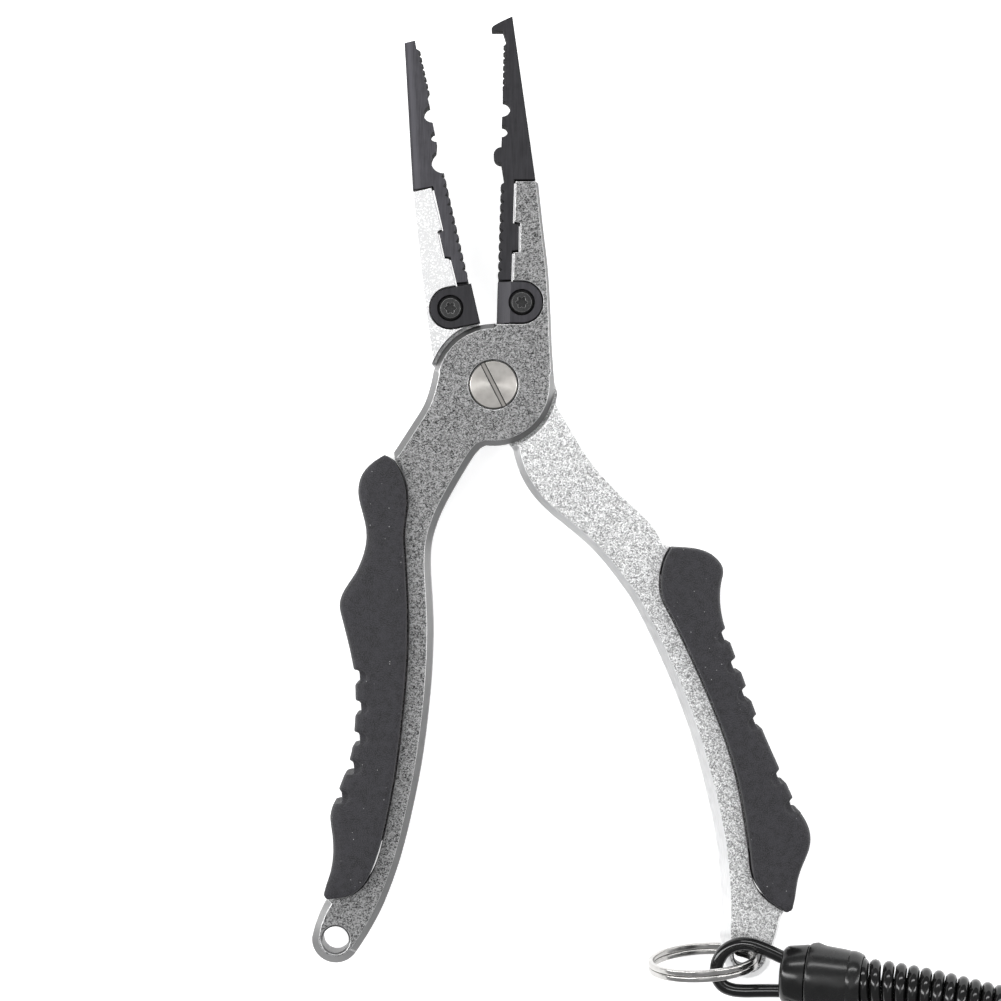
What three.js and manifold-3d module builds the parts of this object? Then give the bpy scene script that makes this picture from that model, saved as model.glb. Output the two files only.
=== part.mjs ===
// Fishing pliers with replaceable steel jaws, side cutters, rubber grips and a coiled lanyard,
// lying flat with the handles sprung open.
// Frame: millimetres, origin at the centre of the pivot nut's flat rear face, +X to the right,
// +Y from the pivot towards the jaws, +Z up. The table the pliers lie on is z = 0.
// "Front" is the half whose boss lies on top at the pivot, "rear" is the half below it.

import * as THREE from 'three';
import { mergeVertices } from 'three/addons/utils/BufferGeometryUtils.js';
import Module from 'manifold-3d';

const wasm = await Module();
wasm.setup();

// ---------------------------------------------------------------- driving dimensions

const GRIP_THICKNESS = 15.6;
const SLAB_THICKNESS = 7.6;
const TONGUE_THICKNESS = 4;
const GAP = 0.3;

const MID_Z = GRIP_THICKNESS / 2;
const SLAB_LOW = MID_Z - SLAB_THICKNESS / 2;
const SLAB_TOP = MID_Z + SLAB_THICKNESS / 2;
const LAP_LOW = MID_Z - GAP / 2;
const LAP_HIGH = MID_Z + GAP / 2;

const BOSS_RADIUS = 13.85;
const RECESS_RADIUS = 14.6;

const BARREL_RADIUS = 3.5;
const PIVOT_HEAD_RADIUS = 5.45;
const PIVOT_HEAD_THICKNESS = 1.4;
const PIVOT_HEAD_PROUD = 0.05;
const PIVOT_SLOT_WIDTH = 1.25;
const PIVOT_SLOT_DEPTH = 0.8;
const PIVOT_SLOT_LEAN = 27;
const NUT_RADIUS = 6.5;
const NUT_THICKNESS = 3.7;
const NUT_FLOOR = 0.9;
const SPANNER_HOLE_OFFSET = 4.6;
const SPANNER_HOLE_RADIUS = 0.9;

const WASHER_INNER = 9;
const WASHER_OUTER = 12.2;
const WASHER_THICKNESS = 0.6;

const SPRING_WIRE = 0.6;
const SPRING_RADIUS = 5.8;
const SPRING_TURNS = 2.75;
const SPRING_PITCH = 0.7;
const SPRING_LEG_REACH = 7.9;
const SPRING_POCKET_RADIUS = 7.1;
const SPRING_POCKET_DEPTH = 1.25;
const SPRING_LOW_LEG = 200;

const CUTTER_THICKNESS = 3;
const CUTTER_PROUD = 0.1;
const CUTTER_BEVEL_WIDTH = 3;
const CUTTER_BEVEL_DEPTH = 2.1;
const LUG_THICKNESS = 2.1;
const LUG_INSET = 0.9;
const SCREW_RADIUS = 1.5;
const SCREW_HEAD_RADIUS = 2.7;
const SCREW_HEAD_HEIGHT = 1.75;
const SCREW_RECESS_RADIUS = 3.02;
const STAR_RADIUS = 1.2;
const STAR_WAVE = 0.22;
const STAR_DEPTH = 1.1;

const JAW_TAPER = 2.2;
const FRONT_JAW_LEAN = 0;
const REAR_JAW_LEAN = 13;
const JAW_SHOULDER_Y = 47;
const EYE_RADIUS = 3.0;
const EYE_COUNTERSINK = 0.4;

const RING_RADIUS = 12.4;
const RING_WIRE_RADIAL = 1.2;
const RING_WIRE_AXIAL = 1.3;
const RING_PITCH = 1.38;
const RING_CORNER = 0.32;
const RING_TURNS = 1.96;
const RING_SIDES = 72;
const RING_START = 319;
const RING_CENTRE = [47.3, -130.35, RING_RADIUS + 0.05];
const RING_YAW = 4.3;
const RING_LEAN = 5;

const BAIL_RADIUS = 1.5;
const PLUG_RADIUS = 6.6;
const PLUG_RIM_RADIUS = 7.2;
const PLUG_LENGTH = 5.8;
const SLEEVE_RADIUS = 7.6;
const MOUTH_RADIUS = 6.9;
const SLEEVE_LENGTH = 11.9;
const COIL_RADIUS = 5.6;
const CORD_LEAD = 4;
const BAIL_FOOT = 3.75;
const BAIL_DEPTH = 3;
// Bail centre line: distance out from the plug's face, and distance to the side.
const BAIL_LOOP = [
  [-BAIL_DEPTH, BAIL_FOOT], [0, BAIL_FOOT], [2, 4.4], [5.2, 5.4], [7.5, 5.9], [9.5, 5.85],
  [11.7, 5.05], [13.5, 3.6], [14.75, 1.2], [14.95, -0.9], [14.4, -2.75], [13.1, -4.1],
  [11, -4.7], [8.7, -4.7], [4.8, -4.25], [0, -BAIL_FOOT], [-BAIL_DEPTH, -BAIL_FOOT],
];
const NEAR_PLUG_FACE = [64.7, -132.3, 17.0];
const NEAR_SLEEVE_END = [82.3, -133.4, 21.9];
const FAR_PLUG_FACE = [62, -187.8, 7.7];
const FAR_SLEEVE_END = [82, -187.8, 7.7];
// The coiled cord's centre line between the two sleeves: it springs up out of the near one,
// bends over and comes down to lie on the table.
const CORD_ROUTE = [
  [95.5, -135.3, 25.6], [108.5, -137.5, 29.2], [118, -139.6, 31.1], [127, -143.6, 31],
  [134.3, -150.2, 27.1], [138.2, -158.8, 19.8], [137.8, -168.5, 11.6], [133.5, -177.2, 6.4],
  [125.5, -183.9, 5.8], [114, -187.5, 5.8], [99, -187.8, 5.8], [91, -187.8, 6],
];

// ---------------------------------------------------------------- outline tools

const SHARP_EDGE = 0.15;
const SPAN_STEPS = 4;
const GRIP_SPAN_STEPS = 2;
const ARC_STEP = 9;
const SHORTEST_SIDE = 0.1;
const TOOTH_CORNER = 0.2;

// How finely round things are faceted: sides round them, steps along them.
const HOLE_SIDES = 18;
const RECESS_SIDES = 28;
const BOSS_SIDES = 54;
const NOTCH_SIDES = 14;
const SCREW_SIDES = 24;
const PIVOT_SIDES = 40;
const STAR_SIDES = 24;
const STAR_LOBES = 6;
const SPRING_SIDES = 6;
const SPRING_STEPS = 56;
const BAIL_SIDES = 8;
const BAIL_STEPS = 36;
const SOCKET_SIDES = 12;
const FITTING_SIDES = 24;
const CORD_SIDES = 12;
const CORD_STEPS = 32;

const radians = THREE.MathUtils.degToRad;

// Straight stretch through the listed corners; "edge" is the chamfer or rounding it carries.
function line(list, edge = SHARP_EDGE) {
  return list.map(([x, y]) => Object.assign(new THREE.Vector2(x, y), { edge }));
}

// Smooth stretch through the listed points.
function curve(list, edge = SHARP_EDGE, perSpan = SPAN_STEPS) {
  const spline = new THREE.SplineCurve(line(list));
  const points = spline.getPoints((list.length - 1) * perSpan);
  return points.map(point => Object.assign(point, { edge }));
}

// Round stretch; turns clockwise when "to" is below "from".
function arc([x, y], radius, from, to, edge = SHARP_EDGE) {
  const count = Math.max(2, Math.round(Math.abs(to - from) / ARC_STEP));
  const points = [];
  for (let i = 0; i <= count; i++) {
    const angle = radians(from + (to - from) * i / count);
    const point = new THREE.Vector2(x + radius * Math.cos(angle), y + radius * Math.sin(angle));
    points.push(Object.assign(point, { edge }));
  }
  return points;
}

// Row of teeth along a straight edge. Each has a crown as long as "crown" of its pitch, its
// corners drawn in a little, and ends in a V nick "depth" deep on the left side.
function teeth(from, to, count, depth, crown) {
  const start = new THREE.Vector2(...from);
  const step = new THREE.Vector2(...to).sub(start).divideScalar(count);
  const inward = new THREE.Vector2(-step.y, step.x).setLength(depth);
  const points = [];
  for (let i = 0; i < count; i++) {
    const tooth = start.clone().addScaledVector(step, i);
    points.push(tooth.clone().addScaledVector(inward, TOOTH_CORNER));
    points.push(tooth.clone().addScaledVector(step, crown / 2));
    points.push(tooth.clone().addScaledVector(step, crown).addScaledVector(inward, TOOTH_CORNER));
    points.push(tooth.clone().addScaledVector(step, (1 + crown) / 2).add(inward));
  }
  return points.map(point => Object.assign(point, { edge: SHARP_EDGE }));
}

// The stretch with its "edge" growing evenly from one value at its start to another at its end.
function growing(points, startEdge, endEdge) {
  return points.map((point, i) => (
    Object.assign(point, { edge: THREE.MathUtils.lerp(startEdge, endEdge, i / (points.length - 1)) })
  ));
}

// The line moved sideways by a distance, to the left of its direction.
function beside(points, distance) {
  return points.map((point, i) => {
    const before = points[Math.max(0, i - 1)];
    const after = points[Math.min(points.length - 1, i + 1)];
    const along = after.clone().sub(before).normalize();
    const moved = new THREE.Vector2(point.x - along.y * distance, point.y + along.x * distance);
    return Object.assign(moved, { edge: point.edge });
  });
}

// Joins stretches into one closed anticlockwise outline with no doubled points.
function outline(...stretches) {
  const points = stretches.flat();
  const kept = points.filter((point, i) => {
    const before = points[(i + points.length - 1) % points.length];
    return point.distanceTo(before) > SHORTEST_SIDE;
  });
  if (THREE.ShapeUtils.isClockWise(kept)) kept.reverse();
  return kept;
}

// The outline drawn in by a distance at each point, or grown where the distance is negative.
function inset(points, distanceAt) {
  const count = points.length;
  return points.map((point, i) => {
    const along1 = point.clone().sub(points[(i + count - 1) % count]).normalize();
    const along2 = points[(i + 1) % count].clone().sub(point).normalize();
    const mitre = new THREE.Vector2(-along1.y - along2.y, along1.x + along2.x);
    const scale = distanceAt(point) / Math.max(0.7, 1 + along1.dot(along2));
    return Object.assign(point.clone().addScaledVector(mitre, scale), { edge: point.edge });
  });
}

function grown(points, distance) {
  return inset(points, () => -distance);
}

// ---------------------------------------------------------------- solid tools

function capFaces(ring) {
  return THREE.ShapeUtils.triangulateShape(ring, []).map(([a, b, c]) => {
    const area = (ring[b].x - ring[a].x) * (ring[c].y - ring[a].y)
      - (ring[c].x - ring[a].x) * (ring[b].y - ring[a].y);
    return area > 0 ? [a, b, c] : [a, c, b];
  });
}

// Closed body through a stack of rings with the same number of points.
function loft(rings, startFaces, endFaces) {
  const count = rings[0].length;
  const index = [];
  for (let ring = 0; ring < rings.length - 1; ring++) {
    for (let i = 0; i < count; i++) {
      const a = ring * count + i;
      const b = ring * count + (i + 1) % count;
      index.push(a, b, b + count, a, b + count, a + count);
    }
  }
  for (const [a, b, c] of startFaces) index.push(a, c, b);
  const last = (rings.length - 1) * count;
  for (const [a, b, c] of endFaces) index.push(last + a, last + b, last + c);
  const geometry = new THREE.BufferGeometry();
  const positions = rings.flat().flatMap(point => [point.x, point.y, point.z]);
  geometry.setAttribute('position', new THREE.Float32BufferAttribute(positions, 3));
  geometry.setIndex(index);
  return solid(geometry);
}

// Flat plate whose top and bottom edges are rounded off by each point's own "edge":
// one step is a 45 degree chamfer, more steps follow a quarter circle.
function plate(points, low, high, steps = 1) {
  const quarter = Array.from({ length: steps + 1 }, (_, i) => radians(90 * i / steps));
  const levels = [
    ...quarter.map(angle => ({ from: low, side: 1, angle })),
    ...quarter.reverse().map(angle => ({ from: high, side: -1, angle })),
  ];
  const flats = levels.map(({ angle }) => inset(points, point => point.edge * (1 - Math.sin(angle))));
  const rings = levels.map(({ from, side, angle }, level) => flats[level].map(point => (
    new THREE.Vector3(point.x, point.y, from + side * point.edge * (1 - Math.cos(angle))))));
  return loft(rings, capFaces(flats[0]), capFaces(flats.at(-1)));
}

// A plain prism with sharp edges.
function prism(points, low, high) {
  const rings = [low, high].map(z => points.map(point => new THREE.Vector3(point.x, point.y, z)));
  return loft(rings, capFaces(points), capFaces(points));
}

function solid(geometry) {
  const bare = geometry.clone();
  bare.deleteAttribute('normal');
  bare.deleteAttribute('uv');
  const merged = mergeVertices(bare, 1e-4);
  return new wasm.Manifold(new wasm.Mesh({
    numProp: 3,
    vertProperties: new Float32Array(merged.attributes.position.array),
    triVerts: new Uint32Array(merged.index.array),
  }));
}

// Body of revolution about +Y through a list of [radius, height].
function lathe(profile, sides) {
  return new THREE.LatheGeometry(profile.map(([r, y]) => new THREE.Vector2(r, y)), sides);
}

function disc(radius, low, high, [x, y] = [0, 0], sides = 36) {
  const geometry = new THREE.CylinderGeometry(radius, radius, high - low, sides);
  geometry.rotateX(Math.PI / 2);
  geometry.translate(x, y, (low + high) / 2);
  return solid(geometry);
}

function cone(lowRadius, highRadius, low, high, [x, y] = [0, 0], sides = 24) {
  const geometry = new THREE.CylinderGeometry(highRadius, lowRadius, high - low, sides);
  geometry.rotateX(Math.PI / 2);
  geometry.translate(x, y, (low + high) / 2);
  return solid(geometry);
}

// Box given by its size, turned about Z and then moved to its centre.
function box(size, centre, turn) {
  const geometry = new THREE.BoxGeometry(...size);
  geometry.rotateZ(radians(turn));
  geometry.translate(...centre);
  return solid(geometry);
}

function cut(body, ...tools) {
  return tools.reduce((left, tool) => left.subtract(tool), body);
}

function join(body, ...others) {
  return others.reduce((whole, other) => whole.add(other), body);
}

// ---------------------------------------------------------------- materials and parts

function finish(color, roughness, metalness) {
  return () => new THREE.MeshStandardMaterial({ color, roughness, metalness });
}

const greyAluminium = finish(0x86878a, 0.55, 0.9);
const silverAluminium = finish(0xd4d5d7, 0.5, 0.9);
const blackSteel = finish(0x2b2a2e, 0.5, 0.6);
const rubber = finish(0x3b3b3e, 0.85, 0);
const steel = finish(0xb5b0a8, 0.3, 1);
const bronze = finish(0x9c7a45, 0.4, 1);
const glossBlack = finish(0x141416, 0.2, 0);
const sleeveBlack = finish(0x2c2c2e, 0.45, 0);

const group = new THREE.Group();

function part(name, body, material) {
  const mesh = body.getMesh();
  const geometry = new THREE.BufferGeometry();
  geometry.setAttribute('position', new THREE.Float32BufferAttribute(mesh.vertProperties, 3));
  geometry.setIndex(Array.from(mesh.triVerts));
  const node = new THREE.Mesh(geometry, material());
  node.name = name;
  group.add(node);
}

// ---------------------------------------------------------------- cutters, lugs and screws

const CUTTER_TOP = SLAB_TOP + CUTTER_PROUD;
const CUTTER_LOW = CUTTER_TOP - CUTTER_THICKNESS;
const LUG_TOP = CUTTER_LOW - GAP;
const LUG_LOW = LUG_TOP - LUG_THICKNESS;
const HEAD_LOW = CUTTER_TOP - SCREW_HEAD_HEIGHT;

// A cutter is a D: a straight cutting edge and a round back about its screw.
const FRONT_CUTTER = {
  edge: [[0.95, 23.3], [0.72, 13.95]],
  centre: [6.4, 18.6],
  radius: 4.68,
  backAngles: [-90, 90],
};
const REAR_CUTTER = {
  edge: [[-3.0, 13.95], [-5.05, 22.85]],
  centre: [-9.72, 17.27],
  radius: 4.6,
  backAngles: [103, 283],
};

function cutterOutline({ edge, centre, radius, backAngles }) {
  return outline(line(edge), arc(centre, radius, ...backAngles));
}

function cutterBlock(cutter) {
  const block = plate(cutterOutline(cutter), CUTTER_LOW, CUTTER_TOP);
  const recess = disc(SCREW_RECESS_RADIUS, HEAD_LOW - GAP, CUTTER_TOP + 1, cutter.centre, RECESS_SIDES);
  const hole = disc(SCREW_RADIUS + GAP, CUTTER_LOW - 1, CUTTER_TOP, cutter.centre, HOLE_SIDES);
  return cut(block, recess, hole);
}

// Wedge that bevels the top of a cutter down to its cutting edge.
function cutterBevel({ edge }) {
  const [[x1, y1], [x2, y2]] = edge;
  const wedge = new THREE.BoxGeometry(10, 20, 10);
  wedge.translate(-5, 0, 5);
  wedge.rotateY(-Math.atan2(CUTTER_BEVEL_DEPTH, CUTTER_BEVEL_WIDTH));
  wedge.rotateZ(-Math.atan2(x1 - x2, y1 - y2));
  wedge.translate((x1 + x2) / 2 + CUTTER_BEVEL_WIDTH, (y1 + y2) / 2, CUTTER_TOP);
  return solid(wedge);
}

// The jaw's lug reaches under the cutter from the end of its shank. With a clearance this is
// the room cut for it, whose neck is open to the top.
function lug(cutter, bridge, clearance, neckTop) {
  const round = prism(
    inset(cutterOutline(cutter), () => LUG_INSET - clearance),
    LUG_LOW - clearance, LUG_TOP);
  const neck = prism(grown(outline(line(bridge)), clearance), LUG_LOW - clearance, neckTop);
  return join(round, neck);
}

function cutterScrew({ centre }) {
  const profile = [
    [0, SLAB_LOW + GAP],
    [SCREW_RADIUS - 0.3, SLAB_LOW + GAP],
    [SCREW_RADIUS, SLAB_LOW + 2 * GAP],
    [SCREW_RADIUS, HEAD_LOW],
    [SCREW_HEAD_RADIUS, HEAD_LOW],
    [SCREW_HEAD_RADIUS, HEAD_LOW + 1.1],
    [SCREW_HEAD_RADIUS * 0.94, HEAD_LOW + 1.45],
    [SCREW_HEAD_RADIUS * 0.82, CUTTER_TOP],
    [0, CUTTER_TOP],
  ];
  const geometry = lathe(profile, SCREW_SIDES);
  geometry.rotateX(Math.PI / 2);
  geometry.translate(centre[0], centre[1], 0);
  const star = [];
  for (let i = 0; i < STAR_SIDES; i++) {
    const angle = 2 * Math.PI * i / STAR_SIDES;
    const radius = STAR_RADIUS + STAR_WAVE * Math.cos(STAR_LOBES * angle);
    star.push(new THREE.Vector2(
      centre[0] + radius * Math.cos(angle), centre[1] + radius * Math.sin(angle)));
  }
  return cut(solid(geometry), prism(star, CUTTER_TOP - STAR_DEPTH, CUTTER_TOP + 1));
}

// ---------------------------------------------------------------- steel jaws

const FRONT_BRIDGE = [[1.45, 21], [3.75, 21], [3.75, 24.6], [1.45, 24.6]];
const REAR_BRIDGE = [[-5.5, 20.6], [-7.8, 20.2], [-8.55, 24.0], [-6.2, 24.4]];

function frontJaw() {
  const shape = outline(
    line([[1.1, 23.6]]),
    teeth([0.95, 24.3], [1.65, 46.3], 10, -0.85, 0.52),
    arc([1.78, 51.95], 1.75, 270, 90),
    arc([1.87, 57.4], 1.4, -90, 90),
    line([[1.95, 60.6]]),
    arc([2.0, 62.5], 1.85, -88, 88),
    line([[2.1, 67.2]]),
    teeth([2.05, 67.3], [2.28, 78.1], 7, -0.8, 0.16),
    line([[2.15, 80.3], [-0.3, 80.3], [-0.45, 80.7]]),
    curve([[-0.05, 81.3], [1.9, 82.4], [4.3, 83.5]]),
    line([[9.5, 46.3], [4.72, 46.3], [4.42, 36.5], [5.75, 36.15], [5.7, 30.35], [4.25, 30.2],
      [4.05, 23.6]]),
  );
  const bar = plate(shape, SLAB_LOW, SLAB_TOP);
  const screwHole = disc(SCREW_RADIUS + GAP, LUG_LOW - 1, LUG_TOP + 1, FRONT_CUTTER.centre, HOLE_SIDES);
  return cut(join(bar, lug(FRONT_CUTTER, FRONT_BRIDGE, 0, LUG_TOP)), screwHole, ...taperTools(FRONT_JAW_LEAN));
}

function rearJaw() {
  const shape = outline(
    line([[-5.62, 23.2]]),
    teeth([-5.8, 24.6], [-11.05, 47.6], 11, 0.85, 0.52),
    arc([-11.35, 50.55], 2.75, -86, -232),
    line([[-12.85, 54.9]]),
    arc([-13.08, 56.1], 1.17, -78, -258),
    line([[-13.75, 59.3]]),
    arc([-13.9, 61.25], 1.9, -84, -254),
    line([[-15.0, 65.6]]),
    teeth([-14.5, 66.4], [-16.85, 76.9], 7, 0.75, 0.16),
    line([[-17.75, 78.0], [-20.15, 77.4], [-18.2, 43.95], [-13.62, 44.75], [-11.33, 34.8],
      [-12.28, 34.3], [-11.08, 28.9], [-9.72, 28.75], [-8.28, 22.95]]),
  );
  const bar = plate(shape, SLAB_LOW, SLAB_TOP);
  const screwHole = disc(SCREW_RADIUS + GAP, LUG_LOW - 1, LUG_TOP + 1, REAR_CUTTER.centre, HOLE_SIDES);
  return cut(join(bar, lug(REAR_CUTTER, REAR_BRIDGE, 0, LUG_TOP)), screwHole, ...taperTools(REAR_JAW_LEAN));
}

// Two blocks that thin a jaw evenly from its shoulder to its tip, above and below.
function taperTools(lean) {
  const [width, length, height] = [40, 50, 10];
  const tools = [];
  for (const side of [1, -1]) {
    const tool = new THREE.BoxGeometry(width, length, height);
    tool.translate(0, length / 2, side * height / 2);
    tool.rotateX(radians(-side * JAW_TAPER));
    tool.translate(0, JAW_SHOULDER_Y, MID_Z + side * SLAB_THICKNESS / 2);
    tool.rotateZ(radians(lean));
    tools.push(solid(tool));
  }
  return tools;
}

// ---------------------------------------------------------------- aluminium halves

const NOSE_EDGE = 0.6;
const BOSS_EDGE = 1.2;
const HANDLE_EDGE = 1.45;
const TAIL_EDGE = 1.7;
const WIDE_EDGE = 2.35;

// Seams between aluminium and rubber, from the jaw end to the tail.
const FRONT_SEAM = curve([
  [-22.3, -16.9], [-20.8, -19.5], [-19.6, -23.2], [-19.4, -27.5], [-20.1, -33.7], [-19.8, -40],
  [-19.3, -50], [-19.4, -62], [-20.6, -76], [-22.4, -90], [-25.7, -105.5], [-28.7, -112.4],
  [-32.4, -115.4], [-37.5, -116.25],
]);
const REAR_SEAM = curve([
  [40.0, -36.6], [38.5, -39.3], [37.6, -43.5], [38.0, -48.2], [41.4, -54.9], [47.4, -67.9],
  [52.6, -81], [55.6, -92.4], [57.5, -104.3], [58.4, -111], [60.9, -115.6], [65.7, -119.2],
]);

const FRONT_TAIL = [-35.7, -125.5];
const REAR_TAIL = [57.5, -128.9];
const REAR_EYE = [57.35, -128.9];

function eyeTools(centre) {
  const wide = EYE_RADIUS + EYE_COUNTERSINK;
  return [
    disc(EYE_RADIUS, SLAB_LOW - 1, SLAB_TOP + 1, centre, RECESS_SIDES),
    cone(wide, EYE_RADIUS, SLAB_LOW, SLAB_LOW + EYE_COUNTERSINK, centre, RECESS_SIDES),
    cone(EYE_RADIUS, wide, SLAB_TOP - EYE_COUNTERSINK, SLAB_TOP, centre, RECESS_SIDES),
  ];
}

function cutterPocket(cutter, bridge) {
  const seat = prism(grown(cutterOutline(cutter), GAP), LUG_TOP, SLAB_TOP + 1);
  const screwHole = disc(SCREW_RADIUS + GAP, SLAB_LOW - 1, SLAB_TOP, cutter.centre, HOLE_SIDES);
  return join(seat, lug(cutter, bridge, GAP, SLAB_TOP + 1), screwHole);
}

// The thin flat tongue that carries a grip.
function tongue(points, clearance) {
  const half = TONGUE_THICKNESS / 2 + clearance;
  const shape = outline(curve([...points, points[0]], SHARP_EDGE, GRIP_SPAN_STEPS));
  return prism(grown(shape, clearance), MID_Z - half, MID_Z + half);
}

const FRONT_TONGUE = [
  [-17.5, -27], [-25.5, -25], [-25.6, -38], [-29.3, -49], [-26.8, -66], [-27.6, -82], [-32, -97],
  [-31.6, -107], [-25, -103], [-19, -82], [-17, -60], [-17.5, -40],
];
const REAR_TONGUE = [
  [35.5, -44], [46.3, -41.5], [47.4, -52], [55.5, -76], [65, -98], [64, -109], [59, -108],
  [53, -88], [46, -69], [39, -54],
];

// One leg pocket for the return spring, cut radially from the spring's own pocket.
function legSlot(angle, z) {
  const width = SPRING_WIRE + 2 * GAP;
  const length = SPRING_LEG_REACH + GAP - SPRING_RADIUS;
  const middle = SPRING_RADIUS + length / 2;
  const centre = [middle * Math.cos(radians(angle)), middle * Math.sin(radians(angle)), z];
  return box([length, width, 2 * SPRING_POCKET_DEPTH], centre, angle);
}

function frontHandle() {
  const shape = outline(
    line([[5.0, 46.0], [9.4, 46.0]]),
    curve([[10.15, 45.5], [11.3, 35], [12.3, 26.5], [12.85, 18], [13.2, 9], [13.6, 3]], NOSE_EDGE),
    arc([0, 0], BOSS_RADIUS, 8, -97, BOSS_EDGE),
    curve([[-3.0, -14.4], [-4.6, -16.3], [-7.3, -20.7], [-10.2, -25.8], [-12.3, -30.2],
      [-13.9, -35.5], [-14.25, -41], [-13.8, -49], [-13.6, -57], [-14.2, -69], [-15.9, -83.5],
      [-18.1, -95.2], [-21, -107], [-24.6, -117], [-28, -123.6], [-31.05, -128.3]], HANDLE_EDGE),
    arc(FRONT_TAIL, 5.45, -34, -184, TAIL_EDGE),
    curve([[-40.4, -122.3], [-39.1, -119], [-37.7, -116.5]], HANDLE_EDGE),
    [...FRONT_SEAM].reverse(),
    curve([[-22.6, -15.4], [-18.9, -9.7], [-15.8, -4.7], [-14.3, -0.4], [-13.6, 2.9]], HANDLE_EDGE),
    arc([0, 0], BOSS_RADIUS, 166, 90, BOSS_EDGE),
    line([[1.25, 14.1], [1.5, 23.2], [4.4, 23.2], [4.55, 29.9], [6.0, 30.05], [6.05, 36.45],
      [4.72, 36.8]]),
  );
  const blank = join(plate(shape, SLAB_LOW, SLAB_TOP), tongue(FRONT_TONGUE, 0));
  const headFloor = SLAB_TOP + PIVOT_HEAD_PROUD - PIVOT_HEAD_THICKNESS - GAP;
  const washerSeat = cut(
    disc(WASHER_OUTER + GAP, 0, LAP_HIGH + WASHER_THICKNESS / 2 + GAP / 2),
    disc(WASHER_INNER - GAP, -1, SLAB_TOP));
  return cut(
    blank,
    disc(RECESS_RADIUS, 0, LAP_HIGH, [0, 0], BOSS_SIDES),
    disc(BARREL_RADIUS + GAP, 0, SLAB_TOP + 1),
    disc(PIVOT_HEAD_RADIUS + GAP, headFloor, SLAB_TOP + 1),
    disc(SPRING_POCKET_RADIUS, 0, LAP_HIGH + SPRING_POCKET_DEPTH),
    legSlot(SPRING_LOW_LEG + 360 * SPRING_TURNS, LAP_HIGH),
    washerSeat,
    cutterPocket(FRONT_CUTTER, FRONT_BRIDGE),
    ...eyeTools(FRONT_TAIL),
  );
}

function rearHandle() {
  const shape = outline(
    line([[-18.2, 43.6], [-14.0, 44.5], [-11.65, 35.05], [-12.62, 34.55], [-11.35, 28.6],
      [-10.0, 28.45], [-8.55, 22.65], [-5.75, 22.9], [-3.6, 14.35]]),
    arc([0, 0], BOSS_RADIUS, 103, 5, BOSS_EDGE),
    curve([[14.0, 0.3], [15.2, -3.1], [18.8, -9.3], [22.3, -15.1], [26, -19.8], [30.3, -24.2],
      [34.6, -28.2], [37.6, -31.5], [39.7, -35.3]], TAIL_EDGE),
    REAR_SEAM,
    curve([[65.1, -120.5], [64.4, -123.8], [63.1, -127.6]], NOSE_EDGE),
    arc(REAR_TAIL, 5.5, 8, -176, HANDLE_EDGE),
    growing(curve([[51.4, -125.4], [51.35, -123.2], [51.5, -116.5], [51.1, -109], [50.15, -101.2],
      [48.05, -91.3], [45.25, -80.8], [41.65, -70.6], [37.25, -60.3], [32.3, -50.3], [28.9, -45.1],
      [25.1, -40.1]]), WIDE_EDGE, HANDLE_EDGE),
    curve([[23.1, -37.9], [21, -35.8], [16.5, -32], [12.7, -28.9], [9.3, -25.4], [6.7, -21.4],
      [5.2, -17.6], [4.5, -14.7]], HANDLE_EDGE),
    arc([0, 0], BOSS_RADIUS, -75, -196, BOSS_EDGE),
    curve([[-14.25, 5.2], [-15.05, 10.6], [-15.95, 17.3], [-17.4, 30], [-18.75, 43.1]], NOSE_EDGE),
  );
  const blank = join(plate(shape, SLAB_LOW, SLAB_TOP), tongue(REAR_TONGUE, 0));
  const washerSeat = cut(
    disc(WASHER_OUTER + GAP, LAP_LOW - WASHER_THICKNESS / 2 - GAP / 2, SLAB_TOP),
    disc(WASHER_INNER - GAP, 0, SLAB_TOP + 1));
  return cut(
    blank,
    disc(RECESS_RADIUS, LAP_LOW, SLAB_TOP + 1, [0, 0], BOSS_SIDES),
    disc(BARREL_RADIUS + GAP, 0, SLAB_TOP),
    disc(SPRING_POCKET_RADIUS, LAP_LOW - SPRING_POCKET_DEPTH, SLAB_TOP),
    legSlot(SPRING_LOW_LEG, LAP_LOW),
    washerSeat,
    cutterPocket(REAR_CUTTER, REAR_BRIDGE),
    ...eyeTools(REAR_EYE),
  );
}

// ---------------------------------------------------------------- rubber grips

const GRIP_EDGE = 2;
const GRIP_SEAM_EDGE = 0.6;
const GRIP_EASE = 9;
const GRIP_STEPS = 2;
const NOTCH_WIDTH = 3;
const NOTCH_POCKET_RADIUS = 1.7;
const NOTCH_POCKET_DEPTH = 1.1;

// Notches are listed by the middle of their inner wall; "turn" points out of the grip.
const FRONT_NOTCHES = {
  turn: 184,
  floors: [[-30.1, -65.8], [-29.8, -72.8], [-30.1, -79.8], [-31.4, -86.2], [-34.1, -92.8]],
};
const REAR_NOTCHES = {
  turn: 22,
  floors: [[51.8, -57], [53.9, -63.6], [56.4, -70], [58.9, -76.3], [64.1, -88.7], [67.1, -95]],
};

function notchTools({ turn, floors }) {
  const reach = 5;
  return floors.flatMap(([x, y]) => {
    const outX = x + reach / 2 * Math.cos(radians(turn));
    const outY = y + reach / 2 * Math.sin(radians(turn));
    return [
      box([reach, NOTCH_WIDTH, GRIP_THICKNESS + 2], [outX, outY, MID_Z], turn),
      disc(NOTCH_POCKET_RADIUS, GRIP_THICKNESS - NOTCH_POCKET_DEPTH, GRIP_THICKNESS + 1, [x, y], NOTCH_SIDES),
      disc(NOTCH_POCKET_RADIUS, -1, NOTCH_POCKET_DEPTH, [x, y], NOTCH_SIDES),
    ];
  });
}

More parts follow.
